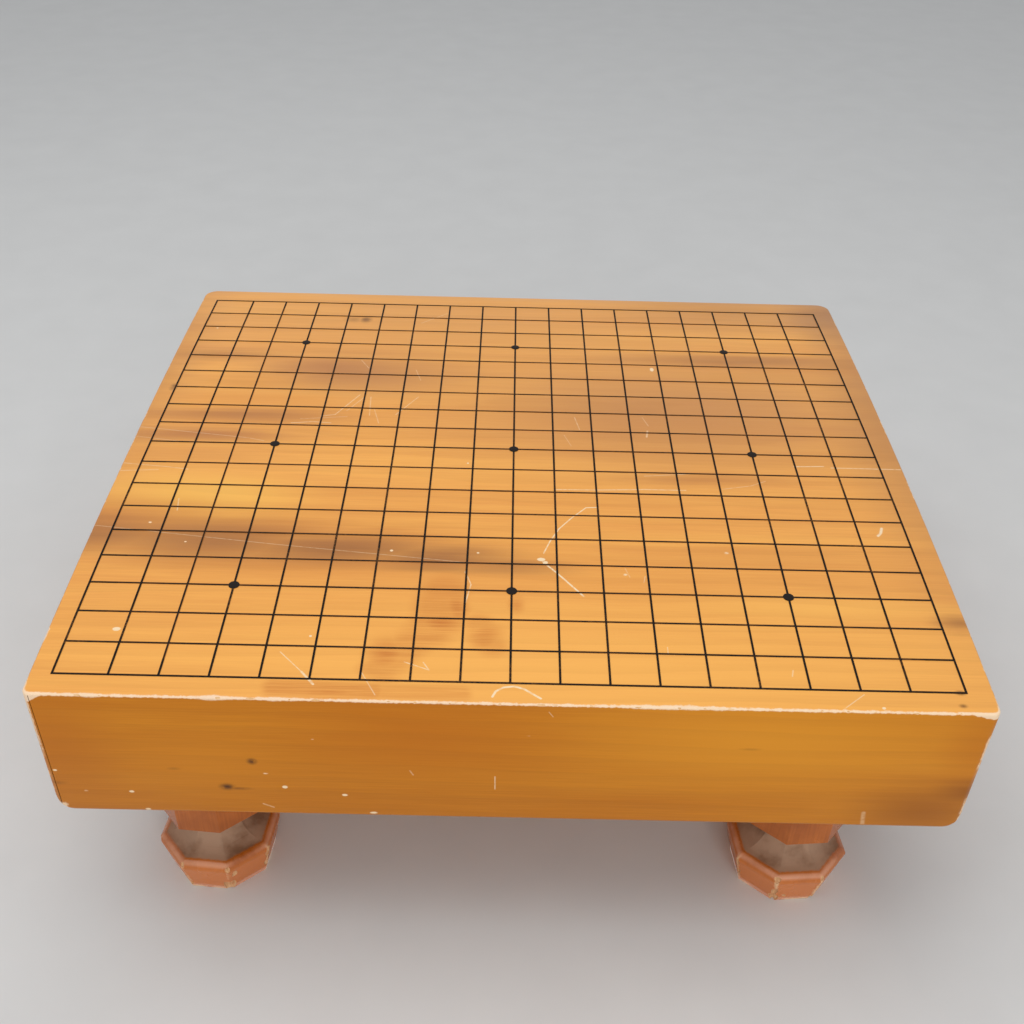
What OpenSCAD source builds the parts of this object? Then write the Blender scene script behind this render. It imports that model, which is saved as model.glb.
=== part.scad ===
// Floor-standing game table for the game of surrounding stones.
// A thick wooden block carries a lacquered grid and stands on four carved octagonal legs.
// Origin: centre of the footprint at floor level. +X along the long side, +Y away from the player, +Z up.

/* [Board] */
// Width of the block, along its grain
board_w = 454.5; // [400:0.5:500]
// Depth of the block, across its grain
board_d = 424.2; // [380:0.2:470]
// Thickness of the block at its front and rear edges
board_t = 81.5; // [60:0.5:160]
// Rise of the playing face in the middle of its depth
crown = 5.2; // [1:0.1:8]
// Rounding of the two upright corners at the front
front_corner_r = 4; // [2:0.5:14]
// Rounding of the two upright corners at the rear
rear_corner_r = 9; // [2:0.5:14]
// Rounding of the lower edges along the front and the rear
lower_edge_r = 3; // [2:0.5:12]
// Rounding of the lower edges at the left and right ends
lower_end_r = 12; // [2:0.5:16]

/* [Grid] */
// Number of lines each way
line_count = 19; // [13:6:19]
// Bare margin outside the outermost columns
margin_x = 12.2; // [8:0.1:24]
// Bare margin outside the outermost rows
margin_y = 15.7; // [8:0.1:24]
// How much wider the outermost columns of cells are ruled
end_cell_extra = 2.6; // [0:0.1:4]
// Sideways offset of the ruling from the middle of the board
ruling_dx = -1.3; // [-3:0.1:3]
// Offset of the ruling from the middle of the board, minus is nearer the player
ruling_dy = -2.2; // [-4:0.1:4]
// Width of a lacquer line
line_w = 1.1; // [0.6:0.1:2]
// Height of a lacquer line above the wood
line_h = 0.2; // [0.1:0.05:0.5]
// Diameter of a star point
star_d = 5.6; // [3:0.1:8]
// Height of a star point above the wood
star_h = 0.3; // [0.1:0.05:0.6]

/* [Legs] */
// Height of a leg, from floor to the underside of the block
leg_h = 92; // [78:1:150]
// Distance from the side of the block to the middle of a leg
leg_inset_x = 64.8; // [50:0.2:100]
// Distance from the front or rear of the block to the middle of a leg
leg_inset_y = 50.8; // [45:0.2:100]
// Sideways offset of all four legs from the middle of the board
leg_dx = -2.4; // [-4:0.1:4]
// How far each leg stands askew about its own axis, mirrored left to right and front to rear
leg_turn = 5; // [0:0.5:8]
// Width of the sole across flats
sole_w = 54; // [45:0.5:57]
// Greatest width of the foot across flats
foot_w = 62.8; // [58:0.2:72]
// Height of the widest part of the foot above the floor
foot_rise = 20.5; // [12:0.5:28]
// Rounding of the foot's upper rim
rim_r = 5; // [2:0.1:6]
// Width of the upper column of a leg across flats
column_w = 55; // [46:0.2:58]
// Width of the hollowed neck across flats
neck_w = 31; // [24:0.2:36]

/* [Joinery] */
// Width of the square tenon
tenon_w = 24; // [16:0.5:28]
// Length of tenon that pushes up into the block
tenon_up = 28; // [15:1:40]
// Length of tenon that is glued into the leg
tenon_down = 30; // [20:1:40]
// Clearance on each side of the tenon in the block
tenon_gap = 0.1; // [0.05:0.05:0.3]
// Clearance above the end of the tenon
tenon_end_gap = 1; // [0.5:0.5:3]

/* [Underside] */
// Mouth of the square hollow in the middle of the underside
navel_w = 84; // [50:1:120]
// Flat floor of that hollow
navel_floor_w = 60; // [30:1:80]
// Depth of that hollow
navel_depth = 16; // [6:1:30]

/* [Hidden] */

// Overrun that lets one cut or intersection pass clean through another solid
over = 1;
// Facets of ordinary curves, and of the very flat arc of the crown
curve_fn = 96;
crown_fn = 1440;

board_bottom = leg_h;
board_edge_top = leg_h + board_t;
crown_radius = (pow(board_d / 2, 2) + pow(crown, 2)) / (2 * crown);
// Thickness of the block before its playing face is crowned
uncut_t = board_t + crown + over;

column_pitch = (board_w - 2 * margin_x - 2 * end_cell_extra) / (line_count - 1);
row_pitch = (board_d - 2 * margin_y) / (line_count - 1);
last_line = line_count - 1;
star_lines = [3, last_line / 2, last_line - 3];

leg_sides = 8;
leg_x = board_w / 2 - leg_inset_x;
leg_y = board_d / 2 - leg_inset_y;
foot_top = foot_rise + rim_r;
neck_r = (column_w - neck_w) / 2;
mortise_w = tenon_w + 2 * tenon_gap;
mortise_depth = tenon_up + tenon_end_gap;

board_colour = "#d29350";
lacquer_colour = "#2a211c";
leg_colour = "#a85c34";
tenon_colour = "#c08a58";

// Place of a ruled line, counted from the left column or the front row
function column_x(i) =
    ruling_dx + (i - last_line / 2) * column_pitch
    + (i == last_line ? end_cell_extra : 0) - (i == 0 ? end_cell_extra : 0);
function row_y(i) = ruling_dy + (i - last_line / 2) * row_pitch;

// Turns a drawing of (depth, height) into a bar along X
module along_x(length) {
    rotate([90, 0, 90])
        linear_extrude(height = length, center = true) children();
}

// Turns a drawing of (width, height) into a bar along Y
module along_y(length) {
    rotate([90, 0, 0])
        linear_extrude(height = length, center = true) children();
}

// Bar that stands on the X axis, with its two lower corners rounded
module round_footed(width, height, radius) {
    translate([-width / 2, radius]) square([width, height - radius]);
    translate([-width / 2 + radius, 0]) square([width - 2 * radius, height]);
    for (side = [-1, 1])
        translate([side * (width / 2 - radius), radius]) circle(r = radius, $fn = curve_fn);
}

// Outline of the block seen from above, with round corners
module board_plan() {
    half_d = board_d / 2;
    translate([0, -half_d]) round_footed(board_w, half_d + over, front_corner_r);
    translate([0, half_d]) mirror([0, 1]) round_footed(board_w, half_d + over, rear_corner_r);
}

// Disc whose upper arc is the crowned playing face, raised by a given height
module crown_disc(raise) {
    translate([0, board_edge_top + crown - crown_radius])
        circle(r = crown_radius + raise, $fn = crown_fn);
}

// Thin film that lies on the crowned playing face
module crown_film(height) {
    film_low = board_edge_top - over;
    along_x(board_w)
        intersection() {
            difference() {
                crown_disc(height);
                crown_disc(0);
            }
            translate([-board_d / 2, film_low]) square([board_d, crown + height + 2 * over]);
        }
}

// Drawing of the ruling raised into a column that passes through the film
module through_film() {
    translate([0, 0, board_edge_top - over])
        linear_extrude(height = crown + star_h + line_h + 2 * over) children();
}

module ruling_drawing() {
    first_x = column_x(0) - line_w / 2;
    first_y = row_y(0) - line_w / 2;
    span_x = column_x(last_line) - column_x(0) + line_w;
    span_y = row_y(last_line) - row_y(0) + line_w;
    for (i = [0 : last_line]) {
        translate([first_x, row_y(i) - line_w / 2]) square([span_x, line_w]);
        translate([column_x(i) - line_w / 2, first_y]) square([line_w, span_y]);
    }
}

module star_drawing() {
    for (i = star_lines, j = star_lines)
        translate([column_x(i), row_y(j)]) circle(d = star_d, $fn = curve_fn);
}

// Square hollow with sloping sides, opening downwards
module navel() {
    slope = (navel_w - navel_floor_w) / 2 / navel_depth;
    mouth = navel_w + 2 * slope * over;
    half_section = [
        [-mouth / 2, -over], [mouth / 2, -over],
        [navel_floor_w / 2, navel_depth], [-navel_floor_w / 2, navel_depth]
    ];
    translate([0, 0, board_bottom])
        intersection() {
            along_x(mouth) polygon(half_section);
            along_y(mouth) polygon(half_section);
        }
}

module at_leg(side, end) {
    translate([leg_dx + side * leg_x, end * leg_y, 0]) children();
}

module mortise() {
    translate([-mortise_w / 2, -mortise_w / 2, board_bottom - over])
        cube([mortise_w, mortise_w, mortise_depth + over]);
}

module board() {
    color(board_colour)
        difference() {
            intersection() {
                translate([0, 0, board_bottom])
                    linear_extrude(height = uncut_t) board_plan();
                translate([0, 0, board_bottom])
                    along_y(board_d + over) round_footed(board_w, uncut_t, lower_end_r);
                translate([0, 0, board_bottom])
                    along_x(board_w + over) round_footed(board_d, uncut_t, lower_edge_r);
                along_x(board_w + over) crown_disc(0);
            }
            navel();
            for (side = [-1, 1], end = [-1, 1])
                at_leg(side, end) mortise();
        }
}

module grid_lines() {
    color(lacquer_colour)
        intersection() {
            through_film()
                difference() {
                    ruling_drawing();
                    star_drawing();
                }
            crown_film(line_h);
        }
}

module star_points() {
    color(lacquer_colour)
        intersection() {
            through_film() star_drawing();
            crown_film(star_h);
        }
}

// Half section of a leg from its axis to a flat: foot with a round rim, hollowed neck and overlong column
module leg_half_section() {
    rim_inner = foot_w / 2 - rim_r;
    polygon([[0, 0], [sole_w / 2, 0], [foot_w / 2, foot_rise], [0, foot_rise]]);
    translate([rim_inner, foot_rise]) circle(r = rim_r, $fn = curve_fn);
    square([rim_inner, foot_top]);
    difference() {
        translate([0, foot_rise]) square([column_w / 2, leg_h + over - foot_rise]);
        translate([column_w / 2, foot_top + neck_r]) circle(r = neck_r, $fn = curve_fn);
        translate([rim_inner, foot_rise]) square([column_w, rim_r + neck_r]);
    }
}

// Eight-sided solid with that half section at the middle of every side
module leg_solid() {
    half_step = 180 / leg_sides;
    rotate([0, 0, half_step])
        rotate_extrude($fn = leg_sides)
            scale([1 / cos(half_step), 1]) leg_half_section();
}

// Slab above a leg that saws the column off flat, where the leg meets the block
module leg_top_cut() {
    cut_w = column_w + foot_w;
    translate([-cut_w / 2, -cut_w / 2, leg_h]) cube([cut_w, cut_w, 2 * over]);
}

module leg(side, end) {
    color(leg_colour)
        at_leg(side, end)
            difference() {
                rotate([0, 0, -side * end * leg_turn]) leg_solid();
                leg_top_cut();
                translate([-tenon_w / 2, -tenon_w / 2, leg_h - tenon_down])
                    cube([tenon_w, tenon_w, tenon_down + over]);
            }
}

module tenon(side, end) {
    color(tenon_colour)
        at_leg(side, end)
            translate([-tenon_w / 2, -tenon_w / 2, leg_h - tenon_down])
                cube([tenon_w, tenon_w, tenon_down + tenon_up]);
}

board();
grid_lines();
star_points();
leg(-1, -1);  // leg_front_left
leg(1, -1);  // leg_front_right
leg(-1, 1);  // leg_rear_left
leg(1, 1);  // leg_rear_right
tenon(-1, -1);  // tenon_front_left
tenon(1, -1);  // tenon_front_right
tenon(-1, 1);  // tenon_rear_left
tenon(1, 1);  // tenon_rear_right
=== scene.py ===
"""Looks of a floor game table: a thick honey-coloured block with a lacquered grid, on four carved legs.

Marks and materials are measured in millimetres.
Blender's objects are in metres, in the frame of the solids.
"""

import math
import random

import bmesh
import bpy
from mathutils import Euler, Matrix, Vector, noise


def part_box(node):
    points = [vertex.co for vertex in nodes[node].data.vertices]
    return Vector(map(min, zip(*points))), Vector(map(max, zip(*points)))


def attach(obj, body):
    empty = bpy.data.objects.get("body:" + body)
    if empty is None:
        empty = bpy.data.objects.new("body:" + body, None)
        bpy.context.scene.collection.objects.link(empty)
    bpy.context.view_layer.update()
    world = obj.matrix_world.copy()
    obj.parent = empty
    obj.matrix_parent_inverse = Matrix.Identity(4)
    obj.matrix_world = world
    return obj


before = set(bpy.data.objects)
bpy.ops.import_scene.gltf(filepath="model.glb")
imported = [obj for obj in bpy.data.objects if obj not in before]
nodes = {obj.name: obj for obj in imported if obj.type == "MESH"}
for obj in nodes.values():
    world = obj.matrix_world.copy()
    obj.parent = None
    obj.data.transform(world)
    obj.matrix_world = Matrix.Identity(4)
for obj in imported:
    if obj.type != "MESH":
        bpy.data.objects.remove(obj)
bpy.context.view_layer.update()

MM = 0.001
random.seed(19)

# Sizes of the block, in millimetres
board_low, board_high = [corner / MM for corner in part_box("board")]
HALF_W = board_high.x
HALF_D = board_high.y
BOARD_BOTTOM = board_low.z
CROWN_TOP = board_high.z
CROWN = 5.2
EDGE_TOP = CROWN_TOP - CROWN
FRONT_CORNER_R = 4.0
LOWER_EDGE_R = 3.0
LOWER_END_R = 12.0

# Sizes of the ruling, in millimetres
LINE_COUNT = 19
MARGIN_X = 12.2
MARGIN_Y = 15.7
END_CELL_EXTRA = 2.6
RULING_X = -1.3
RULING_Y = -2.2
COLUMN_PITCH = (2 * HALF_W - 2 * MARGIN_X - 2 * END_CELL_EXTRA) / (LINE_COUNT - 1)
ROW_PITCH = (2 * HALF_D - 2 * MARGIN_Y) / (LINE_COUNT - 1)
# A column that the pen ruled thinner, counted from the left
THIN_COLUMN = 2

# Sizes of a leg, in millimetres and degrees
LEG_SIDES = 8
LEG_TURN = 5.0
SOLE_W = 54.0
FOOT_W = 62.8
FOOT_RISE = 20.5
RIM_R = 5.0
NECK_R = 12.0
FOOT_TOP = FOOT_RISE + RIM_R
COLUMN_START = FOOT_TOP + 2 * NECK_R
RIM_INNER = FOOT_W / 2 - RIM_R
CORNER_FACTOR = 1 / math.cos(math.pi / LEG_SIDES)

# Bodies that carry the legs
LEGS = {
    "leg_front_left": "front_left_leg",
    "leg_front_right": "front_right_leg",
    "leg_rear_left": "rear_left_leg",
    "leg_rear_right": "rear_right_leg",
}
TENONS = ["tenon_front_left", "tenon_front_right", "tenon_rear_left", "tenon_rear_right"]

# Rounding of the pieces' sharp edges, in millimetres
BOARD_ROUNDING = 1.3
FILM_ROUNDING = 0.07
LEG_ROUNDING = 0.9
TENON_ROUNDING = 0.8
# Faces that lie within this angle of each other count as one flat, in degrees
FLAT_ANGLE = 0.2
# Edges above this angle are rounded, in degrees
ROUNDED_ANGLE = 28
# Edges above these angles stay sharp in shading, in degrees
BLOCK_SHARP_ANGLE = 32
LEG_SHARP_ANGLE = 10
# Gap that is closed between a solid's split faces, in millimetres
SPLIT_GAP = 0.002
# Width of slivers left by the chips that is closed up, in millimetres
SLIVER_GAP = 0.01

# Half width and level of the floor, in metres
FLOOR_SIZE = 6.0
FLOOR_LEVEL = -0.0005
# Light that has come no further than this passes through the floor, in metres
CONTACT_REACH = 0.004
# Strength of the surroundings as light, and how much brighter they are to look at
WORLD_LIGHT = 0.5
WORLD_EXTRA_SEEN = 0.3
# Name, place, target and size of each lamp in metres, and its power in watts
LAMPS = [
    ("overhead_light", (-0.3, -0.1, 1.75), (0, 0, 0.15), 1.5, 12.5),
    ("front_light", (0.3, -1.9, 1.0), (0, -0.1, 0.1), 0.9, 10.5),
]


def srgb(red, green, blue):
    """Linear colour from one given as 0 to 255."""
    def linear(channel):
        share = channel / 255
        return share / 12.92 if share <= 0.04045 else ((share + 0.055) / 1.055) ** 2.4
    return (linear(red), linear(green), linear(blue), 1.0)


class Graph:
    """One node tree. Each call adds a node fed by sockets or plain values and returns its result."""

    def __init__(self, tree):
        self.tree = tree

    def node(self, kind, **settings):
        made = self.tree.nodes.new(kind)
        for name, value in settings.items():
            setattr(made, name, value)
        return made

    def feed(self, socket, value):
        if isinstance(value, bpy.types.NodeSocket):
            self.tree.links.new(value, socket)
        else:
            socket.default_value = value

    def feed_all(self, made, values):
        for socket, value in zip(made.inputs, values):
            self.feed(socket, value)

    def math(self, operation, *values):
        made = self.node("ShaderNodeMath", operation=operation)
        self.feed_all(made, values)
        return made.outputs[0]

    def vector(self, operation, *values):
        made = self.node("ShaderNodeVectorMath", operation=operation)
        self.feed_all(made, values)
        single = operation in ("LENGTH", "DOT_PRODUCT", "DISTANCE")
        return made.outputs["Value" if single else "Vector"]

    def scale(self, vector, factor):
        made = self.node("ShaderNodeVectorMath", operation="SCALE")
        self.feed(made.inputs["Vector"], vector)
        self.feed(made.inputs["Scale"], factor)
        return made.outputs["Vector"]

    def split(self, vector):
        made = self.node("ShaderNodeSeparateXYZ")
        self.feed(made.inputs[0], vector)
        return made.outputs[:]

    def join(self, x, y, z):
        made = self.node("ShaderNodeCombineXYZ")
        self.feed_all(made, (x, y, z))
        return made.outputs[0]

    def noise(self, place, per_mm, detail=2.0, roughness=0.5):
        """Noise from 0 to 1; per_mm is how many features fit in a millimetre along each axis."""
        scaled = self.vector("MULTIPLY", place, per_mm)
        made = self.node("ShaderNodeTexNoise")
        self.feed(made.inputs["Vector"], scaled)
        made.inputs["Scale"].default_value = 1.0
        made.inputs["Detail"].default_value = detail
        made.inputs["Roughness"].default_value = roughness
        return made.outputs[0]

    def ramp(self, value, none_at, full_at):
        """Smooth step from 0 to 1."""
        made = self.node("ShaderNodeMapRange", interpolation_type="SMOOTHSTEP")
        self.feed_all(made, (value, none_at, full_at))
        return made.outputs[0]

    def mix(self, share, first, second):
        """Blend of two colours; the node's colour sockets are its inputs 6 and 7 and its output 2."""
        made = self.node("ShaderNodeMix", data_type="RGBA")
        self.feed(made.inputs[0], share)
        self.feed(made.inputs[6], first)
        self.feed(made.inputs[7], second)
        return made.outputs[2]

    def group(self, tree, *values):
        made = self.node("ShaderNodeGroup", node_tree=tree)
        self.feed_all(made, values)
        return made.outputs[0]

    def times(self, first, *others):
        for other in others:
            first = self.math("MULTIPLY", first, other)
        return first

    def plus(self, first, *others):
        for other in others:
            first = self.math("ADD", first, other)
        return first

    def most(self, first, *others):
        for other in others:
            first = self.math("MAXIMUM", first, other)
        return first

    def swing(self, value, amount):
        """A value from 0 to 1 turned into one from minus half to plus half of the amount."""
        return self.math("MULTIPLY_ADD", value, amount, -amount / 2)


def make_group(name, inputs, build):
    """Node group with one mask output, built by a function of its inputs."""
    tree = bpy.data.node_groups.new(name, "ShaderNodeTree")
    for label, kind in inputs.items():
        tree.interface.new_socket(label, in_out="INPUT", socket_type=kind)
    tree.interface.new_socket("Mask", in_out="OUTPUT", socket_type="NodeSocketFloat")
    g = Graph(tree)
    entry = g.node("NodeGroupInput")
    leave = g.node("NodeGroupOutput")
    g.feed(leave.inputs[0], build(g, *entry.outputs[:len(inputs)]))
    return tree


def stroke_mask(g, place, start, end, width):
    """Line from start to end that fades out at the given half width."""
    from_start = g.vector("SUBTRACT", place, start)
    along = g.vector("SUBTRACT", end, start)
    length_squared = g.vector("DOT_PRODUCT", along, along)
    share = g.math("DIVIDE", g.vector("DOT_PRODUCT", from_start, along), length_squared)
    share = g.math("MINIMUM", g.math("MAXIMUM", share, 0.0), 1.0)
    away = g.vector("SUBTRACT", from_start, g.scale(along, share))
    return g.ramp(g.vector("LENGTH", away), width, g.times(width, 0.3))


def patch_mask(g, place, centre, size):
    """Soft oval that is full in its middle and gone at the given half sizes."""
    offset = g.vector("DIVIDE", g.vector("SUBTRACT", place, centre), size)
    return g.ramp(g.vector("LENGTH", offset), 1.0, 0.0)


VECTOR = "NodeSocketVector"
stroke_group = make_group(
    "stroke", {"Place": VECTOR, "Start": VECTOR, "End": VECTOR, "Width": "NodeSocketFloat"}, stroke_mask)
patch_group = make_group("patch", {"Place": VECTOR, "Centre": VECTOR, "Size": VECTOR}, patch_mask)


def new_material(name):
    """Empty material, its graph, and the place on the piece in millimetres."""
    material = bpy.data.materials.new(name)
    material.use_nodes = True
    material.node_tree.nodes.clear()
    g = Graph(material.node_tree)
    place = g.vector("MULTIPLY", g.node("ShaderNodeTexCoord").outputs["Object"], (1 / MM, 1 / MM, 1 / MM))
    return material, g, place


def finish_material(g, colour, roughness, height, specular, bump=0.5):
    """Varnished or bare surface; height is the relief in millimetres."""
    relief = g.node("ShaderNodeBump")
    relief.inputs["Strength"].default_value = bump
    relief.inputs["Distance"].default_value = MM
    g.feed(relief.inputs["Height"], height)
    shader = g.node("ShaderNodeBsdfPrincipled")
    g.feed(shader.inputs["Base Color"], colour)
    g.feed(shader.inputs["Roughness"], roughness)
    g.feed(shader.inputs["Normal"], relief.outputs[0])
    shader.inputs["Specular IOR Level"].default_value = specular
    g.feed(g.node("ShaderNodeOutputMaterial").inputs["Surface"], shader.outputs[0])


def strokes(g, place, lines):
    """Mask of several polylines, each a half width, a strength and its points."""
    whole = None
    for width, strength, *points in lines:
        for start, end in zip(points, points[1:]):
            line = g.group(stroke_group, place, (*start, 0.0), (*end, 0.0), width)
            line = g.times(line, strength)
            whole = line if whole is None else g.most(whole, line)
    return whole


def spots(g, place, ovals):
    """Mask of several soft ovals, each a strength, a middle and half sizes."""
    whole = None
    for strength, middle, size in ovals:
        oval = g.times(g.group(patch_group, place, (*middle, 0.0), (*size, 1.0)), strength)
        whole = oval if whole is None else g.most(whole, oval)
    return whole


# Broad changes of colour on the playing face, partly the wood's own tone and partly painted light, such as
# a painted sheen and brighter front rows: strength, middle, half sizes and colour
FACE_TONE_AND_LIGHT_PATCHES = [
    (0.65, (-40, 170), (280, 120), (228, 160, 84)),
    (0.80, (95, 45), (210, 105), (200, 136, 78)),
    (0.80, (234, 60), (52, 300), (194, 132, 70)),
    (0.55, (150, 200), (130, 60), (190, 130, 68)),
    (0.60, (228, 196), (56, 70), (158, 108, 68)),
    (0.60, (-236, 90), (44, 220), (198, 132, 66)),
    (0.80, (150, 116), (130, 15), (184, 121, 62)),
    (0.80, (150, 93), (95, 14), (224, 155, 76)),
    (0.80, (-195, 109), (62, 13), (190, 124, 60)),
    (0.80, (-100, 84), (105, 42), (196, 131, 74)),
    (0.50, (-126, 95), (60, 18), (182, 117, 70)),
    (0.85, (-170, 71), (52, 14), (234, 159, 72)),
    (0.85, (-165, 50), (95, 14), (236, 159, 72)),
    (0.85, (-165, 30), (90, 14), (188, 121, 62)),
    (0.85, (-185, 8), (90, 14), (188, 119, 64)),
    (0.60, (-190, -16), (76, 13), (224, 150, 72)),
    (1.00, (-178, -53), (86, 30), (253, 185, 88)),
    (0.70, (-172, -56), (44, 17), (255, 198, 100)),
    (0.60, (105, -30), (76, 11), (198, 127, 64)),
    (0.75, (-178, -60), (90, 34), (255, 190, 84)),
    (0.70, (20, -195), (330, 90), (255, 185, 90)),
    (0.45, (140, -101), (140, 12), (226, 152, 72)),
    (0.80, (160, -140), (110, 14), (255, 187, 90)),
    (0.70, (224, -150), (18, 10), (158, 101, 50)),
]

# Long dark wedge that runs in from the left edge, with an orange fringe: strength, middle and half sizes
WEDGE_FRINGE = [
    (0.65, (-215, -76), (120, 32)),
    (0.50, (-130, -84), (110, 28)),
    (0.45, (-70, -89), (85, 20)),
    (0.45, (-120, -115), (110, 18)),
]
WEDGE_CORE = [
    (0.74, (-240, -93), (115, 28)),
    (0.74, (-165, -96), (110, 28)),
    (0.80, (-95, -101), (90, 22)),
    (0.80, (-42, -107), (75, 17)),
    (0.55, (-6, -112), (58, 14)),
]

# Reddish stain near the front edge: half width, strength and points of its run, then its darker spots
STAIN_RUNS = [
    (17.0, 0.50, (-35, -134), (-41, -164)),
    (15.0, 0.45, (-44, -166), (-62, -190)),
    (11.0, 0.40, (-17, -158), (-9, -174)),
    (8.0, 0.60, (-112, -205), (-66, -206)),
    (7.0, 0.40, (-66, -206), (-24, -206)),
]
STAIN_SPOTS = [
    (0.90, (-36, -159), (18, 13)),
    (0.80, (-28, -146), (9, 20)),
    (0.80, (-61, -181), (16, 18)),
    (0.75, (-13, -167), (13, 15)),
    (0.60, (1, -143), (6, 10)),
    (0.80, (-88, -207), (34, 8)),
]

# Pale scratches on the playing face: half width, strength and points
FACE_SCRATCHES = [
    (0.55, 0.8, (46, -59.4), (39.4, -60), (31, -70), (24, -80), (19, -91), (15.4, -101.6)),
    (0.7, 0.95, (15, -109), (23, -119), (35.4, -135.7)),
    (0.5, 0.6, (-25.6, -118.6), (-22.2, -128.5), (-24.6, -142.9)),
    (0.8, 0.95, (-9.5, -207.5), (-8, -204), (-4.5, -201.4), (0.5, -200.6), (5, -202), (13, -208)),
    (0.4, 0.6, (-112, -181), (-94, -200.5)),
    (0.8, 0.8, (-100, -194), (-93.5, -202)),
    (0.45, 0.6, (-52, -186), (-40, -191), (-43, -186)),
    (0.5, 0.5, (-99, 58), (-111.6, 33), (-120, 31)),
    (0.45, 0.35, (-96, 55), (-105, 38)),
    (0.5, 0.35, (-91.8, 55.7), (-90.5, 33)),
    (0.45, 0.3, (-88, 40), (-84, 24)),
    (0.5, 0.5, (-137, 22), (-124, 24), (-113, 23)),
    (0.4, 0.3, (-132, 27), (-104, 31)),
    (0.45, 0.45, (-62, 57), (-74.4, 34.6)),
    (0.45, 0.3, (-103, 105), (-97, 94)),
    (0.4, 0.3, (-66, 93), (-62, 79)),
    (0.45, 0.4, (36, 36), (38.6, 21.8)),
    (0.4, 0.25, (29, 15), (33, 3)),
    (0.8, 0.45, (80, 22), (79, 15)),
    (0.4, 0.3, (78, 38), (81, 28)),
    (0.6, 0.55, (22, -43), (46, -42.6), (74, -41), (97, -41)),
    (0.4, 0.4, (74.4, -27.5), (108, -23.5)),
    (0.4, 0.35, (118, -39), (135, -35), (144, -30)),
    (0.55, 0.7, (163, -14), (181, -13)),
    (0.5, 0.6, (185, -14.4), (226, -14.6)),
    (0.4, 0.3, (-227, 13.6), (-160, 4), (-150, 1)),
    (0.4, 0.25, (-227, 3), (-190, -3)),
    (0.45, 0.4, (-227, -26), (-200, -29), (-188, -31)),
    (0.45, 0.4, (-226, -34), (-205, -32)),
    (0.35, 0.3, (-227, -86), (-128, -99), (-24, -111)),
    (0.4, 0.4, (-50, 181), (-67.2, 163.8)),
    (1.1, 0.9, (201.5, -73), (200, -77.5), (198, -80)),
    (0.5, 0.4, (-187, -60), (-185.5, -71)),
    (0.4, 0.5, (75, -172), (75, -177)),
    (0.5, 0.4, (134, -186), (133, -190)),
    (0.4, 0.4, (-72, -193), (-64, -208)),
    (0.4, 0.45, (165, -201), (152, -212)),
    (0.4, 0.3, (58, -113), (60, -120)),
    (0.4, 0.35, (68, -119), (67, -124)),
]

# Pale spots on the playing face: strength, middle and half sizes
FACE_SPOTS = [
    (1.0, (89.1, 101.0), (2.2, 4.8)),
    (1.0, (14.0, -107.0), (3.6, 2.6)),
    (0.9, (16.2, -109.6), (2.4, 2.8)),
    (1.0, (-193.9, -167.6), (3.4, 2.4)),
    (0.8, (-207.0, 148.3), (1.6, 1.4)),
    (0.7, (-27.9, -18.2), (1.3, 1.5)),
    (0.8, (-197.6, -82.4), (1.8, 1.4)),
    (0.7, (-175.0, -98.6), (1.6, 1.2)),
    (0.8, (-65.2, -102.2), (1.8, 1.6)),
    (0.7, (-19.4, -102.6), (1.6, 1.4)),
    (0.7, (-99.0, -169.6), (1.5, 1.4)),
    (0.5, (113, -98), (3.4, 2.6)),
    (0.5, (58, -118), (3.0, 2.4)),
    (0.8, (172.5, -209.5), (1.8, 1.6)),
]

# Dark knots: strength, middle and half sizes
FACE_KNOTS = [
    (0.75, (-106.5, 167.5), (6.0, 7.0)),
    (0.35, (-115, 167.5), (9, 7)),
    (0.75, (-217.5, 62.5), (3.4, 6.5)),
    (0.9, (211, -198.6), (4, 2.4)),
    (0.7, (210, -207), (3, 2)),
]

# Changes of colour on the front face, by width and height
FRONT_PATCHES = [
    (0.85, (125, 152), (150, 50), (229, 150, 34)),
    (0.75, (-45, 152), (95, 46), (198, 112, 8)),
    (0.70, (-222, 140), (46, 70), (194, 111, 16)),
    (0.50, (-150, 128), (60, 30), (216, 134, 24)),
    (0.85, (206, 106), (52, 28), (166, 94, 2)),
    (0.75, (229, 121), (28, 11), (136, 72, 2)),
    (0.50, (224, 150), (26, 40), (196, 112, 6)),
]

# Marks of the front face, by width and height
FRONT_SCRATCHES = [
    (0.4, 0.6, (-7.6, 124), (-7.5, 115)),
    (0.5, 0.35, (-49, 127), (-47.5, 124)),
    (0.4, 0.3, (17, 169), (19, 166)),
    (0.6, 0.4, (-123, 100.5), (-118, 98)),
    (1.5, 0.3, (177, 103), (178, 95)),
]
FRONT_SPOTS = [
    (0.8, (-187.4, 107.6), (2.6, 1.6)),
    (0.9, (-111.0, 113.3), (2.6, 1.9)),
    (0.8, (-81.8, 108.3), (2.8, 1.6)),
    (0.7, (-222.2, 122.1), (2.4, 1.5)),
    (0.7, (-181.5, 94.5), (3.0, 2.0)),
    (0.7, (-68.1, 95.4), (4.2, 1.8)),
    (0.55, (-119.5, 122.8), (3.0, 1.3)),
    (0.45, (-94.6, 147.5), (2.4, 1.2)),
    (0.40, (-210, 107.5), (3.2, 1.6)),
    (0.35, (8, 153), (4.5, 2)),
]
FRONT_KNOTS = [
    (1.0, (-125.3, 131.3), (3.6, 3.2)),
    (1.0, (-139.5, 112.6), (5.6, 3.4)),
    (0.5, (-134, 111.5), (10, 1.6)),
    (0.35, (-224, 113), (8, 2)),
    (0.25, (-164, 125), (5, 1.6)),
    (0.25, (114, 147), (8, 1.2)),
]

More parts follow.
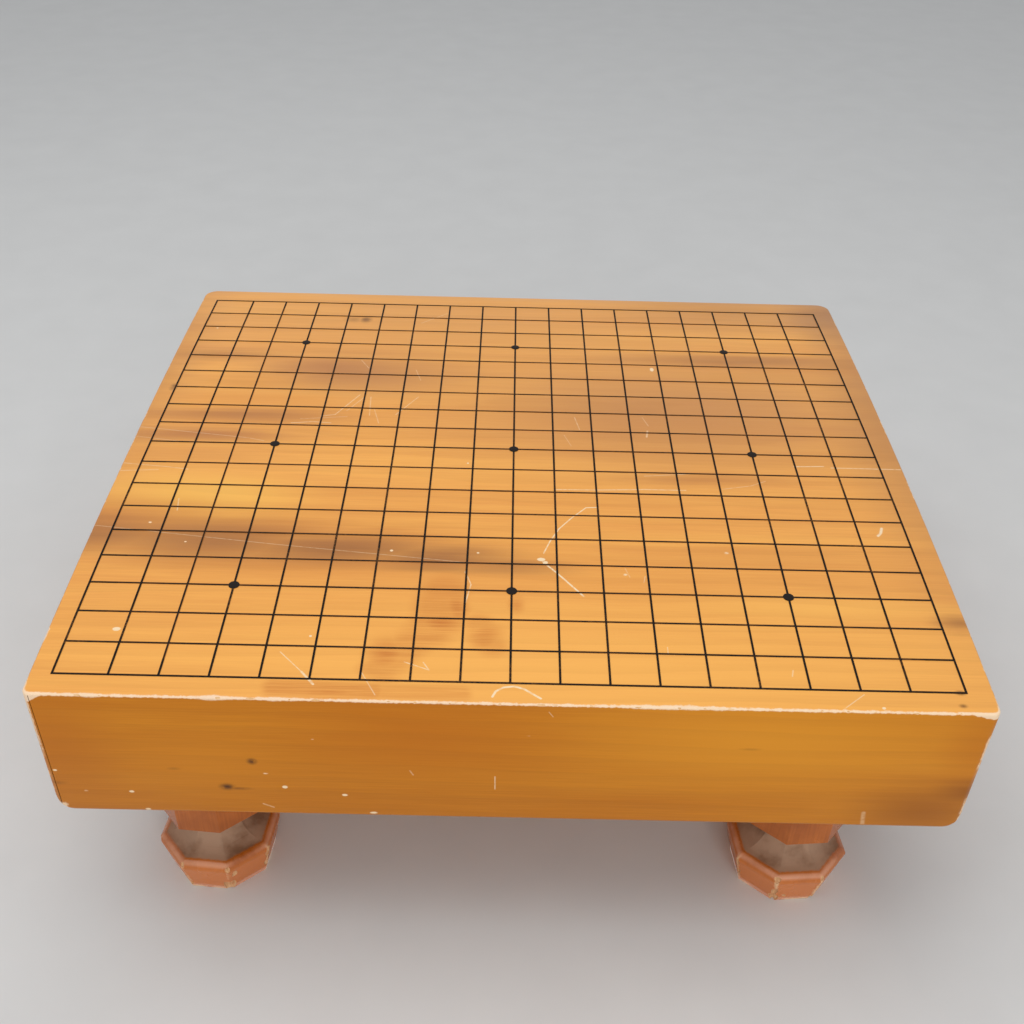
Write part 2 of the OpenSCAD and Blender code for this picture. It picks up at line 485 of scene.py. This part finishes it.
HONEY_LIGHT = srgb(253, 181, 87)
HONEY_DARK = srgb(235, 158, 75)
SIDE_LIGHT = srgb(216, 136, 24)
SIDE_DARK = srgb(196, 115, 12)
RING_BROWN = srgb(150, 86, 24)
WEDGE_ORANGE = srgb(208, 130, 60)
WEDGE_BROWN = srgb(144, 88, 52)
STAIN_RED = srgb(204, 116, 42)
KNOT_BROWN = srgb(84, 46, 14)
BARE_PALE = srgb(254, 226, 184)
BARE_PINK = srgb(250, 214, 184)


def block_material():
    """Honey-coloured block: streaks and rings along X, patches that are partly painted light, knots,
    scratches and worn edges.
    """
    material, g, place = new_material("varnished_block")
    x, y, z = g.split(place)
    normal_x, normal_y, normal_z = g.split(g.node("ShaderNodeTexCoord").outputs["Normal"])
    end_face = g.ramp(g.math("ABSOLUTE", normal_x), 0.6, 0.9)
    on_top = g.ramp(normal_z, 0.5, 0.8)
    on_front = g.ramp(normal_y, -0.5, -0.8)

    fibre = g.noise(place, (0.03, 1.3, 1.3), 3.0, 0.6)
    streak = g.noise(place, (0.004, 0.12, 0.12), 3.0, 0.6)
    band = g.noise(place, (0.0022, 0.022, 0.03), 2.0)
    grit = g.noise(place, (0.4, 0.4, 0.4), 3.0, 0.6)
    cloud = g.noise(place, (0.03, 0.03, 0.03), 3.0)

    late = ring_lines(g, place, y, z)
    tone = g.plus(0.5, g.swing(band, 1.0), g.swing(streak, 0.9), g.swing(fibre, 0.9))
    tone = g.ramp(tone, 0.0, 1.0)
    face_wood = face_colours(g, place, g.mix(tone, HONEY_DARK, HONEY_LIGHT), streak, fibre)
    side_wood = front_colours(g, place, g.mix(tone, SIDE_DARK, SIDE_LIGHT), streak, on_front)
    colour = g.mix(on_top, side_wood, face_wood)
    ring_share = g.plus(0.07, g.times(end_face, 0.33))
    colour = g.mix(g.times(late, ring_share), colour, RING_BROWN)

    top_place = g.join(x, y, 0.0)
    front_place = g.join(x, z, 0.0)

    def marks(draw, of_face, of_front):
        """Marks of the playing face and of the front face, each kept to its own face."""
        face_marks = g.times(draw(g, top_place, of_face), on_top)
        return g.most(face_marks, g.times(draw(g, front_place, of_front), on_front))

    knots = marks(spots, FACE_KNOTS, FRONT_KNOTS)
    knots = g.times(knots, g.ramp(g.plus(grit, streak), 0.5, 1.0))
    colour = g.mix(knots, colour, KNOT_BROWN)

    breaks = g.ramp(grit, 0.3, 0.55)
    scratches = marks(strokes, FACE_SCRATCHES, FRONT_SCRATCHES)
    scratches = g.times(scratches, g.plus(0.5, g.times(breaks, 0.7)))
    scuffs = marks(spots, FACE_SPOTS, FRONT_SPOTS)
    scuffs = g.ramp(g.times(scuffs, g.plus(0.5, grit)), 0.25, 0.6)
    colour = g.mix(g.most(scratches, scuffs), colour, BARE_PALE)

    wear = edge_wear(g, place, x, y, z, grit, cloud)
    colour = g.mix(wear, colour, g.mix(streak, BARE_PINK, BARE_PALE))

    damage = g.most(scratches, scuffs, wear)
    roughness = g.plus(0.3, g.times(cloud, 0.16), g.times(damage, 0.35))
    height = g.plus(g.times(fibre, 0.03), g.times(grit, 0.012), g.times(late, 0.02))
    finish_material(g, colour, roughness, height, specular=0.25)
    return material


def ring_lines(g, place, y, z):
    """Late wood of the growth rings round a pith that runs along X, below the block."""
    pith_y = 60.0
    pith_z = -90.0
    ring_width = 6.5
    wobble_width = 24.0
    wobble = g.swing(g.noise(place, (0.0025, 0.012, 0.012), 3.0), wobble_width)
    across = g.math("SUBTRACT", y, pith_y)
    up = g.math("SUBTRACT", z, pith_z)
    radius = g.math("SQRT", g.plus(g.times(across, across), g.times(up, up)))
    phase = g.math("FRACT", g.math("DIVIDE", g.plus(radius, wobble), ring_width))
    return g.times(g.ramp(phase, 0.3, 0.92), g.ramp(phase, 1.0, 0.92))


def patches(g, place, colour, ovals):
    """Lays soft ovals over a colour, each with its own strength, middle, half sizes and colour."""
    for strength, middle, size, shade in ovals:
        share = g.times(g.group(patch_group, place, (*middle, 0.0), (*size, 1.0)), strength)
        colour = g.mix(share, colour, srgb(*shade))
    return colour


def face_colours(g, place, colour, streak, fibre):
    """Patches (partly painted light), wedge and stain of the playing face, with edges drawn out along the
    grain.
    """
    x, y, _ = g.split(place)
    drift = g.noise(place, (0.012, 0.05, 0.05), 3.0)
    soft_x = g.plus(x, g.swing(drift, 30.0))
    soft_y = g.plus(y, g.swing(streak, 12.0), g.swing(drift, 8.0))
    soft = g.join(soft_x, soft_y, 0.0)
    near = g.join(g.plus(x, g.swing(drift, 8.0)), g.plus(y, g.swing(streak, 6.0)), 0.0)
    # Patches of wood tone, some of them painted sheen and painted brighter light
    colour = patches(g, soft, colour, FACE_TONE_AND_LIGHT_PATCHES)
    colour = g.mix(spots(g, soft, WEDGE_FRINGE), colour, WEDGE_ORANGE)
    core = g.times(spots(g, soft, WEDGE_CORE), g.plus(0.75, g.times(fibre, 0.4)))
    colour = g.mix(core, colour, WEDGE_BROWN)
    stain = g.most(strokes(g, near, STAIN_RUNS), spots(g, near, STAIN_SPOTS))
    stain = g.times(stain, g.ramp(g.plus(fibre, g.times(streak, 0.5)), 0.4, 0.9))
    return g.mix(stain, colour, STAIN_RED)


def front_colours(g, place, colour, streak, on_front):
    """Broad patches of the front face."""
    x, _, z = g.split(place)
    soft = g.join(x, g.plus(z, g.swing(streak, 10.0)), 0.0)
    return g.mix(on_front, colour, patches(g, soft, colour, FRONT_PATCHES))


def side_depth_of(g, x, y):
    """How deep a place is inside the block's outline seen from above, and how far round a corner.

    All four corners are taken to be as sharp as the front ones.
    """
    end_reach = 2.0
    past_x = g.math("SUBTRACT", g.math("ABSOLUTE", x), HALF_W - FRONT_CORNER_R)
    past_y = g.math("SUBTRACT", g.math("ABSOLUTE", y), HALF_D - FRONT_CORNER_R)
    outer_x = g.math("MAXIMUM", past_x, 0.0)
    outer_y = g.math("MAXIMUM", past_y, 0.0)
    outer = g.math("SQRT", g.plus(g.times(outer_x, outer_x), g.times(outer_y, outer_y)))
    inner = g.math("MINIMUM", g.math("MAXIMUM", past_x, past_y), 0.0)
    depth = g.math("SUBTRACT", FRONT_CORNER_R, g.plus(outer, inner))
    return depth, g.math("MINIMUM", past_x, g.plus(past_y, end_reach))


def edge_wear(g, place, x, y, z, grit, cloud):
    """Bare wood where the varnish is gone: along the top edge, the upright corners and the lower edge."""
    side_depth, corner = side_depth_of(g, x, y)
    level = g.math("DIVIDE", y, HALF_D)
    top_depth = g.math("SUBTRACT", g.math("MULTIPLY_ADD", g.times(level, level), -CROWN, CROWN_TOP), z)
    long_noise = g.noise(place, (0.05, 0.05, 0.05), 3.0, 0.6)
    front = g.ramp(y, -HALF_D + 17.1, -HALF_D + 1.1)
    width = g.plus(0.15, g.times(g.ramp(long_noise, 0.45, 0.8), 1.2), g.times(front, 0.9))
    top_edge = g.plus(g.most(g.times(side_depth, 0.75), top_depth), g.swing(grit, 1.6))
    top_wear = g.ramp(top_edge, width, g.times(width, 0.4))

    corner_line = g.ramp(g.plus(corner, g.swing(grit, 2.4)), 1.4, 2.2)
    corner_wear = g.times(
        corner_line, g.ramp(long_noise, 0.48, 0.6), g.ramp(side_depth, 1.2, 0.6), 0.85)
    lower_depth = g.most(side_depth, g.math("SUBTRACT", z, BOARD_BOTTOM))
    lower_line = g.ramp(g.plus(lower_depth, g.swing(grit, 1.4)), 1.2, 0.9)
    lower_wear = g.times(lower_line, g.ramp(cloud, 0.48, 0.6))

    near_side = g.ramp(g.plus(side_depth, g.swing(grit, 1.2)), 1.7, 0.9)
    at_edge = g.times(near_side, g.ramp(y, -HALF_D + 7, -HALF_D + 4.5))
    left = g.times(worn_corner(g, x, top_depth, grit, -HALF_W, length=15.0, height=5.5), at_edge)
    right = g.times(worn_corner(g, x, top_depth, grit, HALF_W, length=22.0, height=3.2), at_edge)
    lower_left = (-HALF_W + 3.8, -HALF_D + 0.8, BOARD_BOTTOM + 4.5)
    lower_corner = g.vector("DISTANCE", place, lower_left)
    lower_corner = g.ramp(g.plus(lower_corner, g.swing(grit, 4.0)), 3.0, 1.4)
    return g.most(top_wear, corner_wear, lower_wear, left, right, g.times(lower_corner, 0.9))


def worn_corner(g, x, top_depth, grit, corner_x, length, height):
    """Bare wedge on the front face that tapers away from an upper corner along the edge."""
    away = g.math("ABSOLUTE", g.math("SUBTRACT", x, corner_x))
    share = g.ramp(away, length, 0.0)
    limit = g.plus(0.4, g.times(share, share, height))
    past = g.math("SUBTRACT", g.plus(top_depth, g.swing(grit, 1.6)), limit)
    return g.times(g.ramp(past, 0.4, -0.4), g.ramp(away, length, length - 2))


def lacquer_material():
    """Near-black lacquer, brownish where it is rubbed thin or the ruling pen ran dry."""
    material, g, place = new_material("grid_lacquer")
    x, y, _ = g.split(place)
    grit = g.noise(place, (0.7, 0.7, 0.7), 3.0, 0.6)
    cloud = g.noise(place, (0.02, 0.02, 0.02), 3.0, 0.6)
    pen = g.noise(place, (0.06, 0.06, 0.06), 2.0)
    off_column = off_line(g, x, RULING_X, COLUMN_PITCH)
    off_row = off_line(g, y, RULING_Y, ROW_PITCH)
    thin_x = RULING_X + (THIN_COLUMN - (LINE_COUNT - 1) / 2) * COLUMN_PITCH
    thin_column = g.ramp(g.math("ABSOLUTE", g.math("SUBTRACT", x, thin_x)), 3.0, 1.5)
    column_half = g.math("SUBTRACT", g.plus(0.42, g.times(pen, 0.25)), g.times(thin_column, 0.22))
    row_half = g.plus(0.26, g.times(pen, 0.38))
    past_column = g.math("SUBTRACT", off_column, column_half)
    past_row = g.math("SUBTRACT", off_row, row_half)
    thin = g.ramp(g.math("MINIMUM", past_column, past_row), 0.0, 0.12)
    rubbed_and_highlight = g.times(g.ramp(cloud, 0.5, 0.72), g.ramp(grit, 0.42, 0.62), 0.5)
    black = g.mix(grit, srgb(14, 10, 8), srgb(34, 24, 16))
    colour = g.mix(g.most(rubbed_and_highlight, g.times(thin, 0.85)), black, srgb(150, 98, 46))
    roughness = g.plus(0.55, g.times(grit, 0.2))
    finish_material(g, colour, roughness, g.times(grit, 0.05), specular=0.12)
    return material


def off_line(g, place, middle, pitch):
    """Distance from the nearest of evenly ruled lines; the widened outermost columns count as ruled."""
    last_even = (LINE_COUNT - 2) / 2
    steps = g.math("DIVIDE", g.math("SUBTRACT", place, middle), pitch)
    inside = g.math("LESS_THAN", g.math("ABSOLUTE", steps), last_even)
    nearest = g.math("ABSOLUTE", g.math("SUBTRACT", steps, g.math("ROUND", steps)))
    return g.times(nearest, pitch, inside)


def star_material():
    """Near-black lacquer of the star points."""
    material, g, place = new_material("star_lacquer")
    grit = g.noise(place, (0.7, 0.7, 0.7), 3.0, 0.6)
    colour = g.mix(grit, srgb(14, 10, 8), srgb(36, 26, 18))
    roughness = g.plus(0.5, g.times(grit, 0.2))
    finish_material(g, colour, roughness, g.times(grit, 0.08), specular=0.15)
    return material


LEG_DARK = srgb(160, 82, 24)
LEG_LIGHT = srgb(202, 112, 40)
LEG_BAND = srgb(226, 134, 72)
LEG_DUST = srgb(176, 144, 118)
# Darker grey-brown of the neck: partly grime, partly painted shade
LEG_GRIME_AND_SHADE = srgb(128, 96, 70)
# Pale pink of the rim's crest: a painted highlight, partly rubbed varnish
LEG_RIM_HIGHLIGHT_AND_RUB = srgb(240, 176, 140)
LEG_WORN = srgb(244, 206, 160)


def leg_material(leg_x, leg_y, leg_middle):
    """Reddish varnished leg: grain upright, rubbed ridges, a painted highlight with some rubbing along the
    rim, dust in the hollowed neck with darker spots that are partly painted shade.
    """
    material, g, place = new_material("varnished_leg")
    x, y, z = g.split(place)
    local_x = g.math("SUBTRACT", g.math("ABSOLUTE", g.math("SUBTRACT", x, leg_middle)), leg_x)
    local_y = g.math("SUBTRACT", g.math("ABSOLUTE", y), leg_y)
    out, from_ridge = eight_sided(g, local_x, local_y)

    fibre = g.noise(place, (1.1, 1.1, 0.05), 3.0, 0.6)
    grit = g.noise(place, (0.5, 0.5, 0.5), 3.0, 0.6)
    cloud = g.noise(place, (0.05, 0.05, 0.05), 3.0)
    tone = g.ramp(g.plus(0.5, g.swing(cloud, 1.3), g.swing(fibre, 0.7)), 0.0, 1.0)
    colour = g.mix(tone, LEG_DARK, LEG_LIGHT)
    foot = g.ramp(z, FOOT_TOP, FOOT_RISE - 3)
    colour = g.mix(g.times(foot, 0.75), colour, LEG_BAND)

    ragged = g.swing(grit, 1.5)
    behind_rim = g.ramp(g.plus(out, ragged), RIM_INNER + 1.6, RIM_INNER)
    in_neck = g.times(behind_rim, g.ramp(z, FOOT_TOP - 1, FOOT_TOP - 0.3))
    dust = g.times(in_neck, g.ramp(g.plus(z, ragged), COLUMN_START + 0.5, COLUMN_START - 1.5))
    # Dust greys the neck; the darker grey-brown spots in it are partly grime and partly painted shade
    smear = g.ramp(g.plus(cloud, g.swing(grit, 0.12)), 0.34, 0.62)
    colour = g.mix(g.times(dust, 0.9), colour, g.mix(smear, LEG_GRIME_AND_SHADE, LEG_DUST))

    # Painted highlight along the rim's rounding, about 46 degrees up it, partly also rubbed varnish
    round_rim = g.math("ARCTAN2", g.math("SUBTRACT", z, FOOT_RISE), g.math("SUBTRACT", out, RIM_INNER))
    highlight_crest = g.ramp(g.math("ABSOLUTE", g.math("SUBTRACT", round_rim, 0.8)), 0.55, 0.05)
    rubbed_and_highlight = g.times(highlight_crest, g.ramp(out, RIM_INNER, RIM_INNER + 1), g.ramp(cloud, 0.3, 0.65))
    colour = g.mix(g.times(rubbed_and_highlight, 0.55), colour, LEG_RIM_HIGHLIGHT_AND_RUB)
    wear = leg_wear(g, from_ridge, z, grit, cloud)
    colour = g.mix(wear, colour, LEG_WORN)
    roughness = g.plus(0.2, g.times(cloud, 0.12), g.times(wear, 0.35), g.times(dust, 0.5))
    height = g.plus(g.times(fibre, 0.04), g.times(grit, 0.03), g.times(wear, -0.05))
    finish_material(g, colour, roughness, height, specular=0.45)
    return material


def eight_sided(g, local_x, local_y):
    """Distance out to the flats of a leg's octagon, and distance from its nearest ridge."""
    step = 2 * math.pi / LEG_SIDES
    radius = g.math("SQRT", g.plus(g.times(local_x, local_x), g.times(local_y, local_y)))
    angle = g.plus(g.math("ARCTAN2", local_y, local_x), math.radians(LEG_TURN))
    share = g.math("FRACT", g.math("DIVIDE", angle, step))
    to_ridge = g.times(g.math("ABSOLUTE", g.math("SUBTRACT", share, 0.5)), step)
    to_flat = g.math("SUBTRACT", step / 2, to_ridge)
    return g.times(radius, g.math("COSINE", to_flat)), g.times(radius, to_ridge)


def leg_wear(g, from_ridge, z, grit, cloud):
    """Rubbed varnish along the eight ridges of a leg's foot and the edge of its sole."""
    ridge = g.ramp(g.plus(from_ridge, g.swing(grit, 3.2)), 1.4, 0.4)
    ridge = g.times(ridge, g.ramp(cloud, 0.46, 0.6), g.ramp(z, FOOT_TOP, FOOT_RISE), 0.8)
    sole = g.times(g.ramp(g.plus(z, g.swing(grit, 3.4)), 2.0, 0.8), g.ramp(cloud, 0.44, 0.6), 0.8)
    return g.most(ridge, sole)


def bare_material(name, light, dark, per_mm):
    """Raw wood with its fibres along one axis."""
    material, g, place = new_material(name)
    fibre = g.noise(place, per_mm, 3.0, 0.65)
    grit = g.noise(place, (0.6, 0.6, 0.6), 2.0)
    share = g.ramp(g.plus(g.times(fibre, 0.7), g.times(grit, 0.3)), 0.3, 0.7)
    colour = g.mix(share, dark, light)
    roughness = g.plus(0.7, g.times(grit, 0.2))
    height = g.plus(g.times(fibre, 0.12), g.times(grit, 0.05))
    finish_material(g, colour, roughness, height, specular=0.2, bump=1.0)
    return material


def floor_material():
    """Plain pale floor.

    It is clear from below, and to light between it and the soles, so that the underside shows.
    """
    material, g, place = new_material("studio_floor")
    grain = g.noise(place, (0.02, 0.02, 0.02), 4.0)
    shader = g.node("ShaderNodeBsdfPrincipled")
    g.feed(shader.inputs["Base Color"], g.mix(grain, srgb(214, 214, 212), srgb(222, 222, 220)))
    shader.inputs["Roughness"].default_value = 0.85
    shader.inputs["Specular IOR Level"].default_value = 0.1
    clear = g.node("ShaderNodeBsdfTransparent")
    below = g.node("ShaderNodeNewGeometry").outputs["Backfacing"]
    close = g.math("LESS_THAN", g.node("ShaderNodeLightPath").outputs["Ray Length"], CONTACT_REACH)
    choice = g.node("ShaderNodeMixShader")
    g.feed_all(choice, (g.most(below, close), shader.outputs[0], clear.outputs[0]))
    g.feed(g.node("ShaderNodeOutputMaterial").inputs["Surface"], choice.outputs[0])
    return material


def shading_group(name, limit):
    """Geometry nodes that drop a piece's stored normals and shade it smooth below a limit in degrees."""
    tree = bpy.data.node_groups.new(name, "GeometryNodeTree")
    tree.interface.new_socket("Geometry", in_out="INPUT", socket_type="NodeSocketGeometry")
    tree.interface.new_socket("Geometry", in_out="OUTPUT", socket_type="NodeSocketGeometry")
    g = Graph(tree)
    entry = g.node("NodeGroupInput")
    plain = g.node("GeometryNodeRemoveAttribute")
    plain.inputs["Name"].default_value = "custom_normal"
    faces = g.node("GeometryNodeSetShadeSmooth", domain="FACE")
    edges = g.node("GeometryNodeSetShadeSmooth", domain="EDGE")
    below = g.node("FunctionNodeCompare", data_type="FLOAT", operation="LESS_EQUAL")
    g.feed_all(below, (g.node("GeometryNodeInputMeshEdgeAngle").outputs[0], math.radians(limit)))
    g.feed(plain.inputs["Geometry"], entry.outputs[0])
    g.feed(faces.inputs["Geometry"], plain.outputs[0])
    g.feed(edges.inputs["Geometry"], faces.outputs[0])
    g.feed(edges.inputs["Shade Smooth"], below.outputs[0])
    g.feed(g.node("NodeGroupOutput").inputs[0], edges.outputs[0])
    return tree


def soften(piece, bevel, shading, cutter=None):
    """Joins a CAD node's split faces, rounds its edges, takes chips out and shades it smooth."""
    weld = piece.modifiers.new("weld", "WELD")
    weld.merge_threshold = SPLIT_GAP * MM
    flats = piece.modifiers.new("join_flats", "DECIMATE")
    flats.decimate_type = "DISSOLVE"
    flats.angle_limit = math.radians(FLAT_ANGLE)
    rounding = piece.modifiers.new("round_edges", "BEVEL")
    rounding.width = bevel * MM
    rounding.segments = 3
    rounding.limit_method = "ANGLE"
    rounding.angle_limit = math.radians(ROUNDED_ANGLE)
    if cutter:
        chips = piece.modifiers.new("chips", "BOOLEAN")
        chips.operation = "DIFFERENCE"
        chips.solver = "EXACT"
        chips.object = cutter
        chips.use_self = True
        chips.material_mode = "TRANSFER"
        seal = piece.modifiers.new("seal", "WELD")
        seal.merge_threshold = SLIVER_GAP * MM
    smooth = piece.modifiers.new("smooth", "NODES")
    smooth.node_group = shading


def add_chip(mesh, centre, along, size):
    """Adds one ragged pebble that will be cut out, long along an edge, by its half sizes in millimetres."""
    raggedness = 0.35
    bumps = 1.7
    made = bmesh.ops.create_icosphere(mesh, subdivisions=2, radius=1.0)
    turn = along.to_track_quat("X", "Z").to_matrix()
    seed = Vector((random.uniform(0, 90), random.uniform(0, 90), random.uniform(0, 90)))
    for vertex in made["verts"]:
        ragged = 1 + raggedness * noise.noise(vertex.co * bumps + seed)
        local = Vector((vertex.co.x * size[0], vertex.co.y * size[1], vertex.co.z * size[2])) * ragged
        vertex.co = (centre + turn @ local) * MM


def spread(i, count):
    """Place of one of several chips along an edge, from -1 to 1, at random within its own stretch."""
    return -1 + 2 * (i + random.uniform(0.15, 0.85)) / count


def chip_size(along, across, scale=1.0):
    """Random half sizes of a chip, from the least and the greatest along its edge and across it."""
    return tuple(random.uniform(*limits) * scale for limits in (along, across, across))


def make_cutter(name, fill, body, material):
    """Hidden piece that holds all the chips of one body."""
    mesh = bmesh.new()
    fill(mesh)
    data = bpy.data.meshes.new(name)
    mesh.to_mesh(data)
    mesh.free()
    data.materials.append(material)
    cutter = bpy.data.objects.new(name, data)
    bpy.context.scene.collection.objects.link(cutter)
    cutter.hide_render = True
    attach(cutter, body)
    return cutter


def board_chips(mesh):
    """Nicks along the block's edges, most of them on the front."""
    clear_of_corner = 4.0
    straight_x = HALF_W - LOWER_END_R - clear_of_corner
    straight_y = HALF_D - LOWER_END_R - clear_of_corner
    inward = 0.2 * LOWER_EDGE_R
    rows = [
        (26, lambda share: Vector((share * straight_x, -HALF_D, EDGE_TOP)), 1.0),
        (14, lambda share: Vector((share * straight_x, HALF_D, EDGE_TOP)), 1.0),
        (14, lambda share: Vector((share * straight_x, -HALF_D + inward, BOARD_BOTTOM + inward)), 1.1),
    ]
    for count, place, scale in rows:
        for i in range(count):
            centre = place(spread(i, count))
            add_chip(mesh, centre, Vector((1, 0, 0)), chip_size((0.8, 3.2), (0.45, 0.95), scale))
    side_count = 13
    for side in (-1, 1):
        for i in range(side_count):
            y = spread(i, side_count) * straight_y
            centre = Vector((side * HALF_W, y, CROWN_TOP - CROWN * (y / HALF_D) ** 2))
            add_chip(mesh, centre, Vector((0, 1, 0)), chip_size((0.8, 3.0), (0.5, 1.0)))
    corner_out = FRONT_CORNER_R * (1 - math.sqrt(0.5))
    for side, heights in ((-1, (161, 149, 131, 119, 108)), (1, (158, 140, 112, 104))):
        for height in heights:
            centre = Vector((side * (HALF_W - corner_out), -HALF_D + corner_out, height))
            add_chip(mesh, centre, Vector((0, 0, 1)), chip_size((1.0, 2.6), (0.5, 1.0)))


# Chips of the legs: angle from +X in degrees, height, and half sizes along the ridge and across it
LEG_CHIPS = {
    "leg_front_left": [
        (-117.5, 24.0, 2.6, 1.8), (-27.5, 18.0, 4.4, 2.0), (-27.5, 8.0, 3.4, 2.0),
        (-162.5, 20.0, 3.6, 1.8), (-72.5, 4.0, 6.0, 3.6), (-66.0, 14.5, 3.6, 2.0),
        (-72.5, 22.0, 2.2, 1.6), (-117.5, 3.0, 2.0, 1.6), (-162.5, 8.0, 3.0, 1.8),
    ],
    "leg_front_right": [
        (-107.5, 23.6, 3.0, 2.2), (-107.5, 10.0, 5.0, 2.0), (-152.5, 18.0, 3.4, 1.8),
        (-152.5, 9.0, 2.6, 1.8), (-107.5, 3.0, 4.0, 3.2), (-62.5, 2.0, 3.0, 2.4),
        (-62.5, 23.0, 2.0, 1.4), (-96.0, 5.0, 2.4, 2.0),
    ],
    "leg_rear_left": [
        (107.5, 20.5, 3.0, 1.6), (152.5, 3.0, 2.8, 2.0),
        (62.5, 22.0, 2.0, 1.4), (152.5, 21.0, 1.8, 1.2),
    ],
    "leg_rear_right": [
        (72.5, 3.0, 3.0, 2.0), (27.5, 21.0, 2.6, 1.5),
        (117.5, 19.0, 2.4, 1.5), (27.5, 6.0, 1.8, 1.2),
    ],
}


def leg_radius(height):
    """Distance of a foot's ridges from the leg's axis."""
    share = min(height / FOOT_RISE, 1.0)
    half = (SOLE_W + (FOOT_W - SOLE_W) * share) / 2
    return half * CORNER_FACTOR


def leg_chips(name):
    """Function that fills a cutter with one leg's chips."""
    middle = middle_of(name)
    nearly_upright = Vector((0.1, 0.05, 1))

    def fill(mesh):
        for angle, height, along, across in LEG_CHIPS[name]:
            turn = math.radians(angle)
            out = leg_radius(height) - 0.1 * across
            centre = Vector((middle.x + out * math.cos(turn), middle.y + out * math.sin(turn), height))
            add_chip(mesh, centre, nearly_upright, (along, across, across))

    return fill


def middle_of(name):
    """Middle of a CAD node's box, in millimetres."""
    low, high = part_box(name)
    return (low + high) / 2 / MM


def dress_pieces():
    """Materials and worn shapes of all the CAD nodes."""
    shading = shading_group("smooth_block", BLOCK_SHARP_ANGLE)
    leg_shading = shading_group("smooth_leg", LEG_SHARP_ANGLE)
    bare_block = bare_material(
        "bare_block_wood", srgb(248, 212, 164), srgb(222, 170, 112), (0.05, 1.2, 1.2))
    bare_leg = bare_material(
        "bare_leg_wood", srgb(234, 190, 142), srgb(200, 144, 98), (1.2, 1.2, 0.06))
    tenon_wood = bare_material(
        "planed_tenon", srgb(212, 164, 110), srgb(176, 124, 76), (1.1, 1.1, 0.04))
    lacquers = {"grid_lines": lacquer_material(), "star_points": star_material()}
    left = middle_of("leg_front_left")
    right = middle_of("leg_front_right")
    leg_wood = leg_material((right.x - left.x) / 2, abs(left.y), (left.x + right.x) / 2)

    paint(nodes["board"], block_material())
    board_cutter = make_cutter("board_chip_cutter", board_chips, "block", bare_block)
    soften(nodes["board"], BOARD_ROUNDING, shading, board_cutter)
    for name, lacquer in lacquers.items():
        paint(nodes[name], lacquer)
        soften(nodes[name], FILM_ROUNDING, shading)
    for name, body in LEGS.items():
        paint(nodes[name], leg_wood)
        leg_cutter = make_cutter(name + "_chip_cutter", leg_chips(name), body, bare_leg)
        soften(nodes[name], LEG_ROUNDING, leg_shading, leg_cutter)
    for name in TENONS:
        paint(nodes[name], tenon_wood)
        soften(nodes[name], TENON_ROUNDING, shading)


def paint(piece, material):
    """Gives every slot of a piece one material."""
    for slot in piece.material_slots:
        slot.material = material


def add_floor():
    """Wide flat floor, a hair below the soles."""
    signs = [(-1, -1), (1, -1), (1, 1), (-1, 1)]
    corners = [(x * FLOOR_SIZE, y * FLOOR_SIZE, FLOOR_LEVEL) for x, y in signs]
    data = bpy.data.meshes.new("floor")
    data.from_pydata(corners, [], [(0, 1, 2, 3)])
    data.materials.append(floor_material())
    floor = bpy.data.objects.new("floor", data)
    bpy.context.scene.collection.objects.link(floor)


def add_lamp(name, place, target, size, power):
    """Square soft light aimed at a point."""
    lamp = bpy.data.lights.new(name, "AREA")
    lamp.shape = "SQUARE"
    lamp.size = size
    lamp.energy = power
    holder = bpy.data.objects.new(name, lamp)
    holder.location = place
    holder.rotation_euler = (Vector(target) - Vector(place)).to_track_quat("-Z", "Y").to_euler()
    bpy.context.scene.collection.objects.link(holder)


def add_world():
    """Even pale surroundings, a little brighter to look at and in reflections than as light."""
    world = bpy.data.worlds.new("studio")
    bpy.context.scene.world = world
    world.use_nodes = True
    world.node_tree.nodes.clear()
    g = Graph(world.node_tree)
    path = g.node("ShaderNodeLightPath")
    rays = ["Is Camera Ray", "Is Glossy Ray", "Is Transmission Ray"]
    seen = g.math("MINIMUM", g.plus(*[path.outputs[ray] for ray in rays]), 1.0)
    back = g.node("ShaderNodeBackground")
    back.inputs["Color"].default_value = srgb(246, 248, 252)
    g.feed(back.inputs["Strength"], g.math("MULTIPLY_ADD", seen, WORLD_EXTRA_SEEN, WORLD_LIGHT))
    g.feed(g.node("ShaderNodeOutputWorld").inputs["Surface"], back.outputs[0])


def add_camera():
    """Camera fitted to the photo: its place, turn, lens and the height of its optical centre."""
    data = bpy.data.cameras.new("camera")
    data.sensor_width = 36
    data.lens = 42.257
    data.shift_y = 0.0859
    camera = bpy.data.objects.new("camera", data)
    camera.location = (-0.00504, -0.60929, 0.56410)
    camera.rotation_euler = Euler((0.8803, -0.0213, 0.0091))
    bpy.context.scene.collection.objects.link(camera)
    bpy.context.scene.camera = camera


add_camera()
dress_pieces()
add_floor()
add_world()
for lamp in LAMPS:
    add_lamp(*lamp)
bpy.context.scene.view_settings.view_transform = "Standard"
